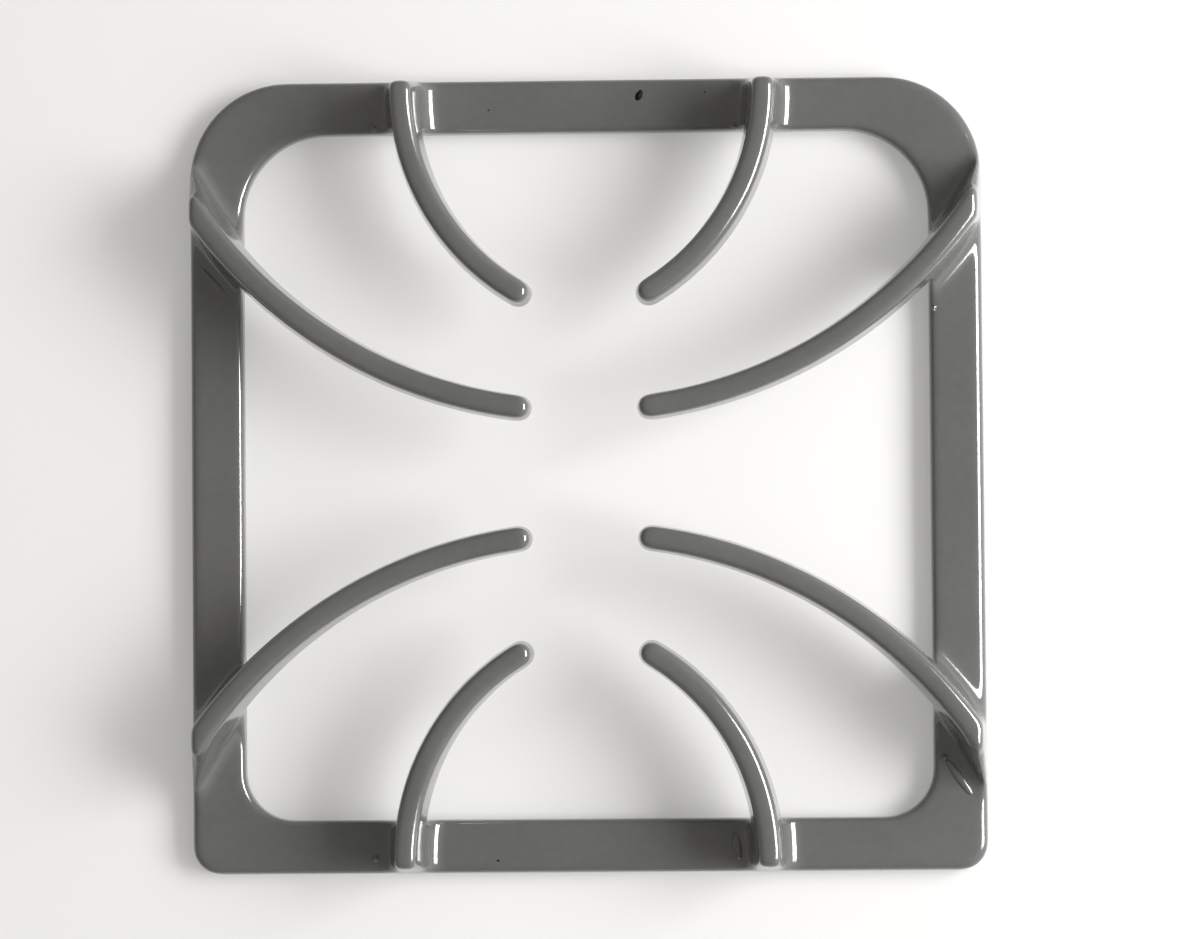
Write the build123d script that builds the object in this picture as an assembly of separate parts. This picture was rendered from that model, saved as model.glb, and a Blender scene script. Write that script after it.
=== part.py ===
from build123d import *
import math
import os

# Pan support for a gas hob: one enamelled iron casting, a square frame with eight curved fingers.
# The origin is on the table under the middle of the frame, +Z is up, +Y is the side with the large corners.

# Frame
FRAME_SIDE = 226.0  # outside of the square frame on the table, both ways
BAR_WIDTH = 15.2  # of the flat bar on the table
BAR_THICKNESS = 7.5
BACK_CORNER_RADIUS = 28.0  # the two large outside corners
BACK_OPENING_RADIUS = 24.0  # inside of the same corners
FRONT_CORNER_RADIUS = 8.0  # the two tight outside corners
FRONT_OPENING_RADIUS = 14.0  # inside of the same corners

# Fingers, seen from above: each follows one arc from the frame's outer wall to a tip near the middle
TOTAL_HEIGHT = 32.0  # from the table to the pan
TIP_GAP = 29.2  # free width between facing tips
SHORT_ROOT = 50.4  # a short finger's root on the front or back wall, from the middle line
SHORT_TIP = 50.5  # its tip, from the middle line
SHORT_BEND = 66.5  # radius of its arc
LONG_ROOT = 81.0  # a long finger's root on a side wall, from the middle line
LONG_TIP = 18.3  # its tip, from the middle line
LONG_BEND = 129.5  # radius of its arc

# Section of a finger
CROWN_WIDTH = 5.8  # top of a finger before its edges are rounded
DRAFT = 4.0  # degrees on the flanks, so that the casting leaves its mould
WALL_DRAFT = 6.0  # degrees on the outer walls, roots included
FLARE_RADIUS = 5.0  # hollow where a finger grows out of the top of the bar
TIP_DEPTH = 11.0  # from the crown to the underside at the tips
CROWN_ROUND = 1.3  # rounding of crowns, roots and the frame's outer top edge
CLEARANCE = 0.5  # from the bar up to the lowest part of the dome under the fingers

outer_wall = FRAME_SIDE / 2
inner_wall = outer_wall - BAR_WIDTH
underside = TOTAL_HEIGHT - TIP_DEPTH


def half_width(depth):
    """Half the width of a finger at a depth under its crown."""
    return CROWN_WIDTH / 2 + depth * math.tan(math.radians(DRAFT))


tip_line = TIP_GAP / 2 + half_width(TIP_DEPTH)


def rounded_square(side, back_radius, front_radius):
    """A square with one radius on its two back corners and another on its two front corners."""
    square = Rectangle(side, side)
    square = fillet(square.vertices().group_by(Axis.Y)[-1], back_radius)
    return fillet(square.vertices().group_by(Axis.Y)[0], front_radius)


def finger(root, tip, bend):
    """A finger down to the table, running on past the outer wall, with hollow flares above the bar."""
    chord = tip - root
    rise = math.sqrt(bend**2 - (chord.length / 2) ** 2)
    centre = (root + tip) / 2 + chord.normalized().rotate(Axis.Z, -90) * rise
    to_tip = tip - centre
    swing = to_tip.get_signed_angle(root - centre, Axis.Z.direction)
    swing += math.degrees(2 * BAR_WIDTH / bend)

    foot = half_width(TOTAL_HEIGHT - BAR_THICKNESS)
    skirt = foot + FLARE_RADIUS
    flank = [(skirt, 0), (skirt, BAR_THICKNESS), (foot, BAR_THICKNESS), (CROWN_WIDTH / 2, TOTAL_HEIGHT)]
    other_flank = [(-across, height) for across, height in reversed(flank)]
    section = make_face(Polyline(*flank, *other_flank, close=True))
    section = fillet(section.vertices().group_by(Axis.Y)[1].sort_by(Axis.X)[1:-1], FLARE_RADIUS)
    upright = Plane(tip, x_dir=to_tip, z_dir=to_tip.rotate(Axis.Z, -90))
    beam = revolve(upright * section, Axis(centre, Axis.Z.direction), swing)
    on_table = (Align.CENTER, Align.CENTER, Align.MIN)
    return beam + Pos(tip) * Cone(half_width(TOTAL_HEIGHT), CROWN_WIDTH / 2, TOTAL_HEIGHT, align=on_table)


def four_ways(shape):
    """The shape and its mirror images across both middle lines."""
    pair = shape + mirror(shape, Plane.YZ)
    return pair + mirror(pair, Plane.XZ)


def corners(body, least_angle=12):
    """Edges where two faces of a body meet at an angle of some degrees."""
    sides = {}
    for face in body.faces():
        for edge in face.edges():
            sides.setdefault(edge, []).append(face)
    found = ShapeList()
    for edge, (face, other) in sides.items():
        middle = edge.position_at(0.5)
        if face.normal_at(middle).get_angle(other.normal_at(middle)) > least_angle:
            found.append(edge)
    return found


def is_rounded(edge):
    """Whether an edge is on a crown, on a root or along the frame's outer top edge."""
    middle = edge.position_at(0.5)
    on_crown = middle.Z > TOTAL_HEIGHT - TIP_DEPTH / 2
    on_outer_wall = max(abs(middle.X), abs(middle.Y)) > outer_wall - BAR_WIDTH / 2
    return on_crown or (on_outer_wall and middle.Z > BAR_THICKNESS / 2)


short_finger = finger(Vector(SHORT_ROOT, outer_wall), Vector(tip_line, SHORT_TIP), SHORT_BEND)
long_finger = finger(Vector(outer_wall, LONG_ROOT), Vector(tip_line, LONG_TIP), LONG_BEND)

# Frame before its opening is cut, and the same walls carried up to trim the fingers flush with them
outline = rounded_square(FRAME_SIDE, BACK_CORNER_RADIUS, FRONT_CORNER_RADIUS)
plate = extrude(outline, BAR_THICKNESS, taper=WALL_DRAFT)
walls = extrude(outline, TOTAL_HEIGHT, taper=WALL_DRAFT)

# Burner space: the opening under a shallow dome, which makes the fingers deepest at the frame
opening = rounded_square(2 * inner_wall, BACK_OPENING_RADIUS, FRONT_OPENING_RADIUS)
reach = Vector(inner_wall, inner_wall).length
sag = underside - BAR_THICKNESS - CLEARANCE
dome_radius = (reach**2 + sag**2) / (2 * sag)
space = extrude(opening, underside) & Pos(0, 0, underside - dome_radius) * Sphere(dome_radius)

casting = plate + (four_ways(short_finger + long_finger) & walls) - space
casting = fillet(corners(casting).filter_by(is_rounded), CROWN_ROUND)

os.makedirs("parts", exist_ok=True)
export_step(casting, "parts/pan_support.step")
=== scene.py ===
"""Enamelled pan support of a gas hob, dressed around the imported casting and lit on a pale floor."""

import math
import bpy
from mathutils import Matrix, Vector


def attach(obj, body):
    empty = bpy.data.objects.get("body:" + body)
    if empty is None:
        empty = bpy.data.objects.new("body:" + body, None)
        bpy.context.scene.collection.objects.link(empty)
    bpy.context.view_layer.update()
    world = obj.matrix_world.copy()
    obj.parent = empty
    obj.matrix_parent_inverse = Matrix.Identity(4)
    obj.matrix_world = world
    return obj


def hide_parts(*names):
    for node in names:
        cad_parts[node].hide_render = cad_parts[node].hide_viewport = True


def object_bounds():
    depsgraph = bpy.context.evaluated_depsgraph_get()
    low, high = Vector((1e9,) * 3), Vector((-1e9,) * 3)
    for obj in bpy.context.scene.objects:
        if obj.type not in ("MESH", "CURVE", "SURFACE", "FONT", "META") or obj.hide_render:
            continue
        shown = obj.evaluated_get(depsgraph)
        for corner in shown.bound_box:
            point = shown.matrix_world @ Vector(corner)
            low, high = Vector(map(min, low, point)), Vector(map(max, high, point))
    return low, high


bl_info = {
    "name": "Enamelled pan support",
    "version": (1, 0, 0),
    "blender": (4, 5, 0),
    "location": "View3D > Sidebar > Pan Support",
    "description": "Gives the cast pan support its grey vitreous enamel and a plain studio stage",
    "category": "Object",
}

import bmesh
import bpy
from mathutils import Matrix, Vector, noise

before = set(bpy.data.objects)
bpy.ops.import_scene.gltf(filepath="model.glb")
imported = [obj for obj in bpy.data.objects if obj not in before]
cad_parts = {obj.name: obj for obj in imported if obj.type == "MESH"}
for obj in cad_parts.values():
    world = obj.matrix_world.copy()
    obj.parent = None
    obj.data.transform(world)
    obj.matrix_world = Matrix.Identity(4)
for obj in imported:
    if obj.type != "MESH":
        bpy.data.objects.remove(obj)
cad_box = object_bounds()

CASTING = "pan_support"
COAT = "enamelled_casting"
ENAMEL = "vitreous_enamel"
BODY = "root"
UP = Vector((0, 0, 1))

# The casting, in metres like every length here
SIDE_WALL = cad_box[1][0]  # from the middle line to the outside of a side bar
CROWN_HEIGHT = cad_box[1][2]  # from the table to the top of the fingers
BAR_TOP = 0.0075  # from the table to the upper face of the flat bars
BACK_CORNER_RADIUS = 0.028
WALL_LEAN = math.tan(math.radians(6))  # how far the outer walls lean in, as a share of their height

# Patterns of the enamel and the ground coat: how closely they lie, per metre, and their levels of detail
CLOUDS = (22.0, 3.0)  # slow changes of grey
MOTTLE = (420.0, 4.0)  # fine speckle over them
SHEEN = (90.0, 3.0)  # glossier and duller patches
WAVES = (60.0, 1.0)
PEEL = (650.0, 2.0)
GROUND_GRAIN = (2600.0, 3.0)

# The part of a pattern's range that is stretched over the whole change that it makes
CLOUD_SPAN = (0.3, 0.7)
MOTTLE_SPAN = (0.35, 0.65)
SHEEN_SPAN = (0.3, 0.75)
GROUND_SPAN = (0.3, 0.7)

CLOUD_SHARE = 0.7  # of the clouds in the changes of grey, the rest is mottle
ENAMEL_IOR = 1.6
GROUND_SHADE = 0.5  # share of the ground coat's colour that its darkest grains keep
GROUND_ROUGHNESS = (0.55, 0.8)
GROUND_RELIEF = 0.00003  # depth of its broken surface
GROUND_SPECULAR = 0.15  # against 0.5 of a clean surface

# Lips by which the roots of the long fingers run out along the side walls
LIP_START = 0.0720  # from the middle line, inside the root
LIP_END = 0.0915  # where the lip has sunk into the bar
LIP_WIDTH = 0.0054  # of its crest at the root
LIP_SLOPE = 0.07  # how far its inner flank leans out, as a share of its height
LIP_FALL = 1.6  # how steeply its crest falls towards its end
LIP_TAPER = 1.2  # how quickly its crest narrows
LIP_STATIONS = 16

# Chips and pinholes down to the ground coat: x and y, then length, width and turn
CHIPS = (
    (0.0158, 0.1078, 0.0031, 0.0018, math.radians(62)),
    (-0.0259, -0.1091, 0.0008, 0.0006, 0.0),
    (-0.0271, 0.1040, 0.0006, 0.0005, 0.0),
    (0.0345, 0.1086, 0.0005, 0.0005, 0.0),
)
CHIP_SEGMENTS = 48
CHIP_RAGGEDNESS = 0.22  # share of a chip's size by which its rim wanders
CHIP_LOBES = 1.7  # how often its rim wanders in and out
CHIP_VARIETY = 1000.0  # how quickly the rim's course changes from place to place, per metre
CHIP_RISE = 0.00002  # of a chip's face over the enamel around it, too little to see
CHIP_SINK = 0.0002  # depth of a chip's lens under the enamel around it

# Runs and blisters of enamel on the flat bars: x, y, radius, height, tail length and direction of the tail
RUNS = (
    (-0.0601, 0.0992, 0.0011, 0.00090, 0.0004, math.radians(0)),
    (0.0429, 0.0989, 0.0008, 0.00070, 0.0009, math.radians(180)),
    (-0.0606, -0.1083, 0.0012, 0.00095, 0.0002, math.radians(90)),
    (0.0423, -0.1084, 0.0010, 0.00090, 0.0060, math.radians(97)),
)
RUN_SEGMENTS = 40
RUN_RINGS = 10
RUN_SINK = 0.00015  # how far the rim of a run lies under the face it flowed over
TAIL_SLIMNESS = 9  # how quickly a tail narrows beside its direction

# Beads where the hollow flares of two long fingers end on the bars: both ends, then radius
BEADS = (
    ((-0.1097, 0.0602), (-0.0981, 0.0475), 0.0012),
    ((0.1009, -0.0812), (0.1084, -0.0918), 0.0012),
)
BEAD_HEIGHT = 0.55  # share of the radius to which a bead rises
BEAD_SEGMENTS = 12
BEAD_STATIONS = 24

# Burrs that the mould left beside two of the long fingers: place and radius
BURRS = (
    (Vector((0.0989, 0.0463, 0.0072)), 0.0009),
    (Vector((0.1003, -0.0808, 0.0078)), 0.0009),
)
BURR_ROUGHNESS = 0.35  # share of the radius by which a burr's surface rises and falls
BURR_GRAIN = 1400.0  # how closely its bumps lie, per metre
BURR_FINENESS = 4  # how often the faces of a burr's ball are divided


class EnamelSettings(bpy.types.PropertyGroup):
    """Colours and relief of the enamel."""

    grey: bpy.props.FloatVectorProperty(
        name="Grey",
        description="Colour of the enamel where it has its full thickness",
        subtype="COLOR",
        size=3,
        min=0,
        max=1,
        default=(0.120, 0.121, 0.119),
    )
    thin_grey: bpy.props.FloatVectorProperty(
        name="Thin Grey",
        description="Colour where the enamel ran thin in the firing",
        subtype="COLOR",
        size=3,
        min=0,
        max=1,
        default=(0.142, 0.142, 0.138),
    )
    ground_coat: bpy.props.FloatVectorProperty(
        name="Ground Coat",
        description="Colour of the dark first coat that a chip lays bare",
        subtype="COLOR",
        size=3,
        min=0,
        max=1,
        default=(0.008, 0.007, 0.007),
    )
    gloss_roughness: bpy.props.FloatProperty(
        name="Gloss Roughness",
        description="Roughness of the smooth fired surface",
        subtype="FACTOR",
        min=0,
        max=1,
        default=0.07,
    )
    dull_roughness: bpy.props.FloatProperty(
        name="Dull Roughness",
        description="Roughness where the fired surface is least glossy",
        subtype="FACTOR",
        min=0,
        max=1,
        default=0.14,
    )
    wave_height: bpy.props.FloatProperty(
        name="Wave Height",
        description="Depth of the slow waves that the casting leaves in the surface",
        unit="LENGTH",
        default=0.00006,
    )
    peel_height: bpy.props.FloatProperty(
        name="Peel Height",
        description="Depth of the fine orange peel of the fired coat",
        unit="LENGTH",
        default=0.000006,
    )
    coat_thickness: bpy.props.FloatProperty(
        name="Coat Thickness",
        description="Thickness of the enamel over the iron",
        unit="LENGTH",
        default=0.00018,
    )
    coat_grain: bpy.props.FloatProperty(
        name="Coat Grain",
        description="Spacing of the mesh that carries the coat",
        unit="LENGTH",
        default=0.00042,
    )
    melt_steps: bpy.props.IntProperty(
        name="Melt Steps",
        description="How often the coat is relaxed, which rounds its edges further with each step",
        default=80,
    )
    coat_share: bpy.props.FloatProperty(
        name="Coat Share",
        description="Share of the coat's faces that are kept, fewest of them on its flat stretches",
        subtype="FACTOR",
        min=0,
        max=1,
        default=0.196,
    )


class StageSettings(bpy.types.PropertyGroup):
    """Floor, lamps and camera."""

    floor_color: bpy.props.FloatVectorProperty(
        name="Floor Colour",
        description="Colour of the table top",
        subtype="COLOR",
        size=3,
        min=0,
        max=1,
        default=(0.66, 0.657, 0.650),
    )
    floor_glow: bpy.props.FloatProperty(
        name="Floor Glow",
        description="Brightness that the table top adds to its own colour, which keeps the shadows pale",
        default=0.24,
    )
    floor_roughness: bpy.props.FloatProperty(
        name="Floor Roughness",
        description="Roughness of the table top",
        subtype="FACTOR",
        min=0,
        max=1,
        default=0.7,
    )
    floor_size: bpy.props.FloatProperty(
        name="Floor Size",
        description="Side of the table top",
        unit="LENGTH",
        default=6.0,
    )
    key_power: bpy.props.FloatProperty(
        name="Key Power",
        description="Power of the large softbox on the right",
        unit="POWER",
        default=14.0,
    )
    key_place: bpy.props.FloatVectorProperty(
        name="Key Place",
        description="Middle of the softbox",
        subtype="TRANSLATION",
        unit="LENGTH",
        size=3,
        default=(0.93, 0.05, 0.73),
    )
    key_size: bpy.props.FloatVectorProperty(
        name="Key Size",
        description="Width and height of the softbox",
        unit="LENGTH",
        size=2,
        default=(0.9, 0.6),
    )
    glint_power: bpy.props.FloatProperty(
        name="Glint Power",
        description="Power of the panel in front of the softbox that only shows in reflections",
        unit="POWER",
        default=30.0,
    )
    glint_place: bpy.props.FloatVectorProperty(
        name="Glint Place",
        description="Middle of that panel",
        subtype="TRANSLATION",
        unit="LENGTH",
        size=3,
        default=(0.88, 0.05, 0.72),
    )
    glint_size: bpy.props.FloatVectorProperty(
        name="Glint Size",
        description="Width and height of that panel",
        unit="LENGTH",
        size=2,
        default=(0.7, 0.45),
    )
    room_color: bpy.props.FloatVectorProperty(
        name="Room Colour",
        description="Colour of the room's light",
        subtype="COLOR",
        size=3,
        min=0,
        max=1,
        default=(1.0, 0.975, 0.945),
    )
    dim_side: bpy.props.FloatProperty(
        name="Dim Side",
        description="Brightness of the room overhead and on the left of the table",
        default=0.33,
    )
    bright_side: bpy.props.FloatProperty(
        name="Bright Side",
        description="Brightness of the room at its right end",
        default=1.1,
    )
    camera_place: bpy.props.FloatVectorProperty(
        name="Camera Place",
        description="Where the camera stands",
        subtype="TRANSLATION",
        unit="LENGTH",
        size=3,
        default=(0.0350, -0.0357, 1.1415),
    )
    camera_turn: bpy.props.FloatVectorProperty(
        name="Camera Turn",
        description="Turn of a camera that would look straight down",
        subtype="EULER",
        unit="ROTATION",
        size=3,
        default=(math.radians(1.860), math.radians(1.590), math.radians(-0.473)),
    )
    lens: bpy.props.FloatProperty(
        name="Lens",
        description="Focal length in millimetres on a 36 mm wide frame",
        default=120.0,
    )


class NodeBench:
    """Places and links the nodes of one material or of the room."""

    def __init__(self, tree):
        self.nodes = tree.nodes
        self.links = tree.links

    def plug(self, node, values):
        """Set or link the inputs of a node."""
        for name, value in values.items():
            if isinstance(value, bpy.types.NodeSocket):
                self.links.new(value, node.inputs[name])
            else:
                node.inputs[name].default_value = value

    def place(self, kind):
        """The place of a point, or its direction, in one kind of coordinates."""
        return self.nodes.new("ShaderNodeTexCoord").outputs[kind]

    def noise(self, place, scale, detail):
        """A pattern of soft patches between 0 and 1."""
        node = self.nodes.new("ShaderNodeTexNoise")
        self.plug(node, {"Vector": place, "Scale": scale, "Detail": detail})
        return node.outputs["Fac"]

    def math(self, operation, first, second):
        """Two values joined by a sum, a product or the like."""
        node = self.nodes.new("ShaderNodeMath")
        node.operation = operation
        self.plug(node, {0: first, 1: second})
        return node.outputs["Value"]

    def ramp(self, value, low, high, to_low=0.0, to_high=1.0):
        """A value carried smoothly from one range to another."""
        node = self.nodes.new("ShaderNodeMapRange")
        node.interpolation_type = "SMOOTHSTEP"
        ends = {"From Min": low, "From Max": high, "To Min": to_low, "To Max": to_high}
        self.plug(node, {"Value": value, **ends})
        return node.outputs["Result"]

    def mix(self, factor, first, second):
        """Two plain colours mixed by a factor."""
        node = self.nodes.new("ShaderNodeMix")
        node.data_type = "RGBA"
        self.links.new(factor, node.inputs["Factor"])
        colors = [socket for socket in node.inputs if socket.type == "RGBA"]
        for socket, color in zip(colors, (first, second)):
            socket.default_value = (*color, 1)
        return next(socket for socket in node.outputs if socket.type == "RGBA")

    def bump(self, height, distance, normal=None):
        """The surface's direction with a relief, on top of an earlier one if it is given."""
        node = self.nodes.new("ShaderNodeBump")
        self.plug(node, {"Height": height, "Distance": distance})
        if normal is not None:
            self.links.new(normal, node.inputs["Normal"])
        return node.outputs["Normal"]


def new_material(name):
    """A material, the bench for its nodes and its shader."""
    material = bpy.data.materials.new(name)
    material.use_nodes = True
    bench = NodeBench(material.node_tree)
    return material, bench, bench.nodes["Principled BSDF"]


def enamel_material(settings):
    """Grey vitreous enamel: glossy, slightly wavy, a little lighter where it ran thin."""
    material, bench, shader = new_material(ENAMEL)
    place = bench.place("Object")

    clouds = bench.ramp(bench.noise(place, *CLOUDS), *CLOUD_SPAN)
    mottle = bench.ramp(bench.noise(place, *MOTTLE), *MOTTLE_SPAN)
    clouds = bench.math("MULTIPLY", clouds, CLOUD_SHARE)
    mottle = bench.math("MULTIPLY", mottle, 1 - CLOUD_SHARE)
    color = bench.mix(bench.math("ADD", clouds, mottle), settings.grey, settings.thin_grey)
    sheen = bench.noise(place, *SHEEN)
    roughness = bench.ramp(sheen, *SHEEN_SPAN, settings.gloss_roughness, settings.dull_roughness)
    waves = bench.bump(bench.noise(place, *WAVES), settings.wave_height)
    peel = bench.bump(bench.noise(place, *PEEL), settings.peel_height, waves)

    bench.plug(shader, {"Base Color": color, "Roughness": roughness, "Normal": peel, "IOR": ENAMEL_IOR})
    return material


def ground_coat_material(settings):
    """The dark and dull first coat that shows in a chip."""
    material, bench, shader = new_material("bare_ground_coat")

    grain = bench.noise(bench.place("Object"), *GROUND_GRAIN)
    darkest = [GROUND_SHADE * channel for channel in settings.ground_coat]
    color = bench.mix(grain, darkest, settings.ground_coat)
    roughness = bench.ramp(grain, *GROUND_SPAN, *GROUND_ROUGHNESS)
    broken = bench.bump(grain, GROUND_RELIEF)

    bench.plug(shader, {"Base Color": color, "Roughness": roughness, "Normal": broken})
    bench.plug(shader, {"Specular IOR Level": GROUND_SPECULAR})
    return material


def add_piece(name, mesh, material):
    """Put a mesh on the casting's body as a smooth piece of its finish."""
    mesh.materials.clear()
    mesh.materials.append(material)
    mesh.shade_smooth()
    piece = bpy.data.objects.new(name, mesh)
    bpy.context.collection.objects.link(piece)
    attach(piece, BODY)
    return piece


def finished_mesh(name, shape):
    """Turn a bench shape into a mesh with all its faces looking out."""
    bmesh.ops.recalc_face_normals(shape, faces=shape.faces)
    mesh = bpy.data.meshes.new(name)
    shape.to_mesh(mesh)
    shape.free()
    return mesh


def skin_rings(shape, rings):
    """Close a row of rings of points, each as long as the next, into a skin with two ends."""
    for first, second in zip(rings, rings[1:]):
        for step in range(len(first)):
            following = (step + 1) % len(first)
            shape.faces.new((first[step], first[following], second[following], second[step]))
    shape.faces.new(rings[0])
    shape.faces.new(rings[-1])


def surface_height(x, y):
    """Height of the enamel over the table at one place of the bars."""
    hit, place, _, _ = bpy.data.objects[COAT].ray_cast((x, y, 2 * CROWN_HEIGHT), -UP)
    if not hit:
        raise RuntimeError(f"a mark at {x}, {y} does not lie on the casting")
    return place.z


def side_wall(y):
    """The outside of a side bar on the table, which turns in at the large back corners."""
    into_corner = max(0.0, y - (SIDE_WALL - BACK_CORNER_RADIUS))
    return SIDE_WALL - BACK_CORNER_RADIUS + math.sqrt(BACK_CORNER_RADIUS**2 - into_corner**2)


def add_lip(shape, side, end):
    """Add the lip by which one long finger's root runs out along its side wall and sinks into the bar."""
    stations = []
    foot = BAR_TOP / 2
    for step in range(LIP_STATIONS + 1):
        share = step / LIP_STATIONS
        y = end * (LIP_START + share * (LIP_END - LIP_START))
        crest = BAR_TOP + (CROWN_HEIGHT - BAR_TOP) * math.cos(share * math.pi / 2) ** LIP_FALL
        width = LIP_WIDTH * (1 - share) ** LIP_TAPER
        wall = side_wall(y)
        top = wall - crest * WALL_LEAN
        inner_foot = top - width - (crest - foot) * LIP_SLOPE
        corners = ((wall - foot * WALL_LEAN, foot), (top, crest), (top - width, crest), (inner_foot, foot))
        stations.append([shape.verts.new((side * x, y, z)) for x, z in corners])
    skin_rings(shape, stations)


class PANSUPPORT_OT_coat(bpy.types.Operator):
    """Melt a coat of enamel over the casting and the lips of its roots"""

    bl_idname = "pan_support.coat"
    bl_label = "Enamel the Casting"
    bl_options = {"REGISTER", "UNDO"}

    def execute(self, context):
        settings = context.scene.pan_support_enamel
        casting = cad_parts.get(CASTING)
        if casting is None:
            raise RuntimeError("the frame has no casting to enamel")
        shape = bmesh.new()
        shape.from_mesh(casting.data)
        for side in (-1, 1):
            for end in (-1, 1):
                add_lip(shape, side, end)
        iron = bpy.data.objects.new("iron", finished_mesh("iron", shape))
        context.collection.objects.link(iron)

        skin = iron.modifiers.new("skin", "REMESH")
        skin.mode = "VOXEL"
        skin.voxel_size = settings.coat_grain
        melt = iron.modifiers.new("melt", "SMOOTH")
        melt.iterations = settings.melt_steps
        swell = iron.modifiers.new("swell", "DISPLACE")
        swell.mid_level = 0
        swell.strength = settings.coat_thickness
        thin = iron.modifiers.new("thin", "DECIMATE")
        thin.ratio = settings.coat_share
        melted = iron.evaluated_get(context.evaluated_depsgraph_get())
        mesh = bpy.data.meshes.new_from_object(melted)
        bpy.data.objects.remove(iron)
        for vertex in mesh.vertices:
            vertex.co.z = max(vertex.co.z, 0)

        coat = add_piece(COAT, mesh, enamel_material(settings))
        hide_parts(CASTING)
        context.view_layer.update()
        return {"FINISHED"}


def lay_chip(shape, x, y, length, width, turn):
    """Add the ragged face of one chip, a thin lens sunk into the enamel, to a shape."""
    level = surface_height(x, y)
    rim = []
    for step in range(CHIP_SEGMENTS):
        angle = math.tau * step / CHIP_SEGMENTS
        out = Vector((math.cos(angle), math.sin(angle), 0))
        wander = 1 + CHIP_RAGGEDNESS * noise.noise(out * CHIP_LOBES + Vector((x, y, 0)) * CHIP_VARIETY)
        along, across = out.x * wander * length / 2, out.y * wander * width / 2
        place = Matrix.Rotation(turn, 2) @ Vector((along, across))
        rim.append(shape.verts.new((x + place.x, y + place.y, level + CHIP_RISE)))
    face = shape.verts.new((x, y, level + CHIP_RISE))
    ground = shape.verts.new((x, y, level - CHIP_SINK))
    for step in range(CHIP_SEGMENTS):
        following = (step + 1) % CHIP_SEGMENTS
        shape.faces.new((face, rim[step], rim[following]))
        shape.faces.new((ground, rim[following], rim[step]))


class PANSUPPORT_OT_chips(bpy.types.Operator):
    """Lay bare the ground coat in the chip and the pinholes"""

    bl_idname = "pan_support.chips"
    bl_label = "Chip the Enamel"
    bl_options = {"REGISTER", "UNDO"}

    def execute(self, context):
        shape = bmesh.new()
        for chip in CHIPS:
            lay_chip(shape, *chip)
        material = ground_coat_material(context.scene.pan_support_enamel)
        add_piece("enamel_chips", finished_mesh("enamel_chips", shape), material)
        return {"FINISHED"}


def pour_run(shape, x, y, radius, height, tail, heading):
    """Add one domed drop, drawn out into a tail on one side, to a shape."""
    level = surface_height(x, y) - RUN_SINK
    rings = []
    for ring in range(1, RUN_RINGS + 1):
        share = ring / RUN_RINGS
        rise = height * math.cos(share * math.pi / 2)
        points = []
        for step in range(RUN_SEGMENTS):
            angle = math.tau * step / RUN_SEGMENTS
            towards_tail = max(0.0, math.cos(angle - heading))
            reach = share * (radius + tail * towards_tail**TAIL_SLIMNESS)
            along, across = reach * math.cos(angle), reach * math.sin(angle)
            points.append(shape.verts.new((x + along, y + across, level + rise)))
        rings.append(points)
    skin_rings(shape, rings)


class PANSUPPORT_OT_runs(bpy.types.Operator):
    """Lay the runs and blisters of enamel on the bars"""

    bl_idname = "pan_support.runs"
    bl_label = "Lay the Enamel Runs"
    bl_options = {"REGISTER", "UNDO"}

    def execute(self, context):
        shape = bmesh.new()
        for run in RUNS:
            pour_run(shape, *run)
        add_piece("enamel_runs", finished_mesh("enamel_runs", shape), bpy.data.materials[ENAMEL])
        return {"FINISHED"}


def draw_bead(shape, start, end, radius):
    """Add one thin bead, tapered to both ends and half sunk into the bar, to a shape."""
    start, end = (Vector((x, y, surface_height(x, y))) for x, y in (start, end))
    across = (end - start).cross(UP).normalized()
    rings = []
    for station in range(1, BEAD_STATIONS):
        share = station / BEAD_STATIONS
        middle = start.lerp(end, share)
        size = radius * math.sqrt(math.sin(share * math.pi))
        points = []
        for step in range(BEAD_SEGMENTS):
            angle = math.tau * step / BEAD_SEGMENTS
            out = across * math.cos(angle) + UP * BEAD_HEIGHT * math.sin(angle)
            points.append(shape.verts.new(middle + size * out))
        rings.append(points)
    skin_rings(shape, rings)


class PANSUPPORT_OT_beads(bpy.types.Operator):
    """Draw the beads and set the burrs that the mould left beside the long fingers"""

    bl_idname = "pan_support.beads"
    bl_label = "Set the Beads and Burrs"
    bl_options = {"REGISTER", "UNDO"}

    def execute(self, context):
        shape = bmesh.new()
        for bead in BEADS:
            draw_bead(shape, *bead)
        for place, radius in BURRS:
            ball = {"subdivisions": BURR_FINENESS, "radius": radius, "matrix": Matrix.Translation(place)}
            burr = bmesh.ops.create_icosphere(shape, **ball)
            for vertex in burr["verts"]:
                out = vertex.co - place
                vertex.co += out * BURR_ROUGHNESS * noise.noise(vertex.co * BURR_GRAIN)
        add_piece("mould_marks", finished_mesh("mould_marks", shape), bpy.data.materials[ENAMEL])
        return {"FINISHED"}


def soft_lamp(name, place, size, power):
    """A rectangular softbox that faces the middle of the table."""
    lamp = bpy.data.lights.new(name, "AREA")
    lamp.shape = "RECTANGLE"
    lamp.size, lamp.size_y = size
    lamp.energy = power
    holder = bpy.data.objects.new(name, lamp)
    holder.location = place
    holder.rotation_euler = Vector(place).to_track_quat("Z", "Y").to_euler()
    bpy.context.collection.objects.link(holder)
    return holder


def studio_room(settings):
    """A pale room that is dim overhead and on the left and bright at its right end."""
    room = bpy.data.worlds.new("studio_room")
    room.use_nodes = True
    bench = NodeBench(room.node_tree)
    direction = bench.nodes.new("ShaderNodeSeparateXYZ")
    bench.plug(direction, {"Vector": bench.place("Generated")})
    to_the_right = direction.outputs["X"]
    strength = bench.ramp(to_the_right, 0, 1, settings.dim_side, settings.bright_side)
    bench.plug(bench.nodes["Background"], {"Color": (*settings.room_color, 1), "Strength": strength})
    return room


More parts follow.
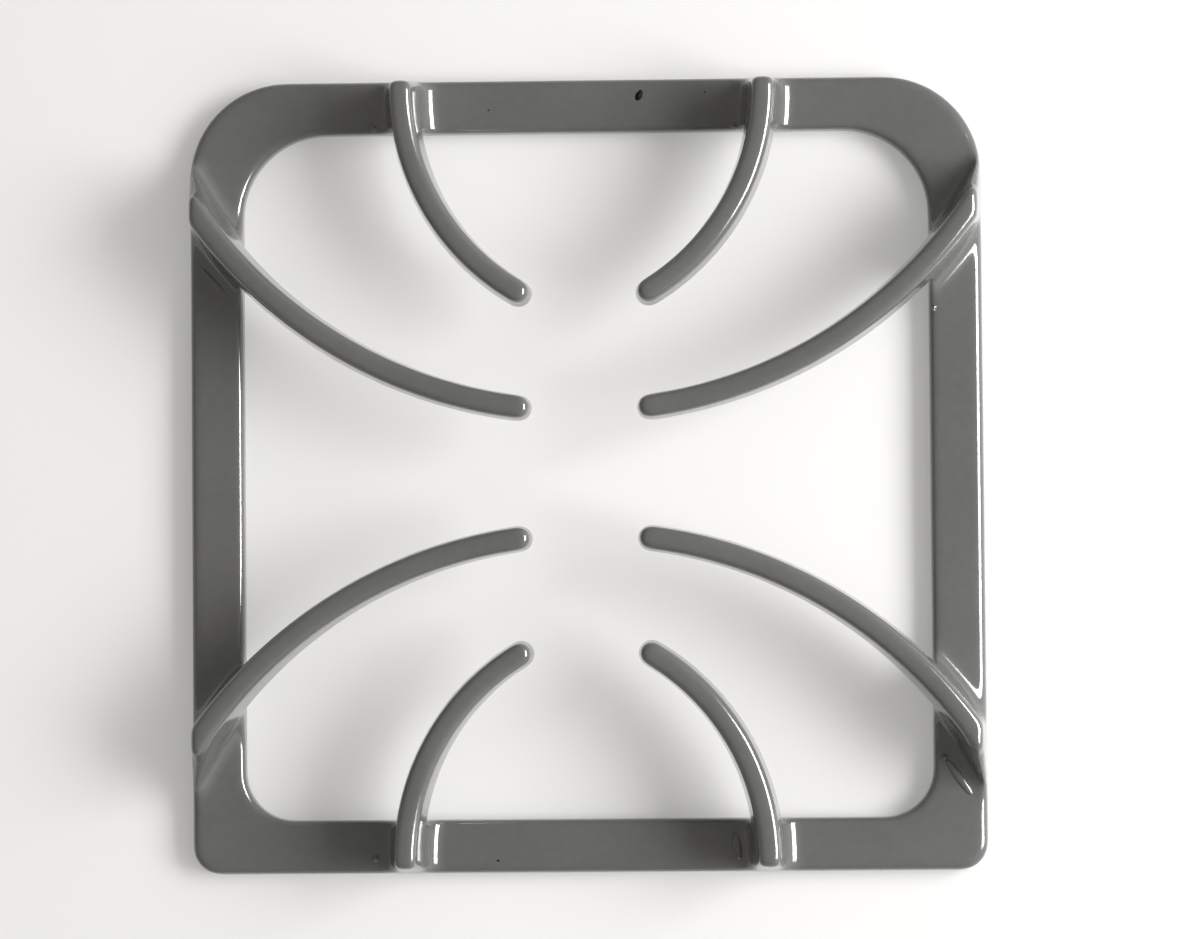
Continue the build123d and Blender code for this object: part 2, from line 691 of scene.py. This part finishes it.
def studio_camera(settings):
    """The camera, almost straight above the middle of the frame."""
    lens = bpy.data.cameras.new("studio_camera")
    lens.lens = settings.lens
    camera = bpy.data.objects.new("studio_camera", lens)
    camera.location = settings.camera_place
    camera.rotation_euler = settings.camera_turn
    bpy.context.collection.objects.link(camera)
    return camera


def table_top_material(settings):
    """A pale matt table top, whose glow is seen and mirrored but lights nothing."""
    material, bench, shader = new_material("pale_table_top")
    light_path = bench.nodes.new("ShaderNodeLightPath").outputs
    seen = bench.math("MAXIMUM", light_path["Is Camera Ray"], light_path["Is Glossy Ray"])
    seen = bench.math("MAXIMUM", seen, light_path["Is Transmission Ray"])
    looks = {
        "Base Color": (*settings.floor_color, 1),
        "Roughness": settings.floor_roughness,
        "Emission Color": (1, 1, 1, 1),
        "Emission Strength": bench.math("MULTIPLY", seen, settings.floor_glow),
    }
    bench.plug(shader, looks)
    return material


class PANSUPPORT_OT_stage(bpy.types.Operator):
    """Lay the floor and set up the lamps, the room and the camera"""

    bl_idname = "pan_support.stage"
    bl_label = "Set Up the Stage"
    bl_options = {"REGISTER", "UNDO"}

    def execute(self, context):
        settings = context.scene.pan_support_stage
        bpy.ops.mesh.primitive_plane_add(size=settings.floor_size)
        floor = context.object
        floor.name = "floor"
        floor.data.materials.append(table_top_material(settings))

        soft_lamp("key_softbox", settings.key_place, settings.key_size, settings.key_power)
        glint = soft_lamp("glint_panel", settings.glint_place, settings.glint_size, settings.glint_power)
        glint.visible_diffuse = False
        context.scene.world = studio_room(settings)
        context.scene.camera = studio_camera(settings)
        context.scene.view_settings.view_transform = "Standard"
        return {"FINISHED"}


STEPS = (
    PANSUPPORT_OT_coat,
    PANSUPPORT_OT_chips,
    PANSUPPORT_OT_runs,
    PANSUPPORT_OT_beads,
    PANSUPPORT_OT_stage,
)


class PANSUPPORT_PT_panel(bpy.types.Panel):
    """Lists the steps that dress the pan support"""

    bl_label = "Pan Support"
    bl_idname = "PANSUPPORT_PT_panel"
    bl_space_type = "VIEW_3D"
    bl_region_type = "UI"
    bl_category = "Pan Support"

    def draw(self, context):
        for step in STEPS:
            self.layout.operator(step.bl_idname)


CLASSES = (EnamelSettings, StageSettings, *STEPS, PANSUPPORT_PT_panel)


def register():
    for cls in CLASSES:
        bpy.utils.register_class(cls)
    bpy.types.Scene.pan_support_enamel = bpy.props.PointerProperty(type=EnamelSettings)
    bpy.types.Scene.pan_support_stage = bpy.props.PointerProperty(type=StageSettings)


def unregister():
    del bpy.types.Scene.pan_support_stage
    del bpy.types.Scene.pan_support_enamel
    for cls in reversed(CLASSES):
        bpy.utils.unregister_class(cls)


def main():
    register()
    bpy.ops.pan_support.coat()
    bpy.ops.pan_support.chips()
    bpy.ops.pan_support.runs()
    bpy.ops.pan_support.beads()
    bpy.ops.pan_support.stage()


if __name__ == "__main__":
    main()
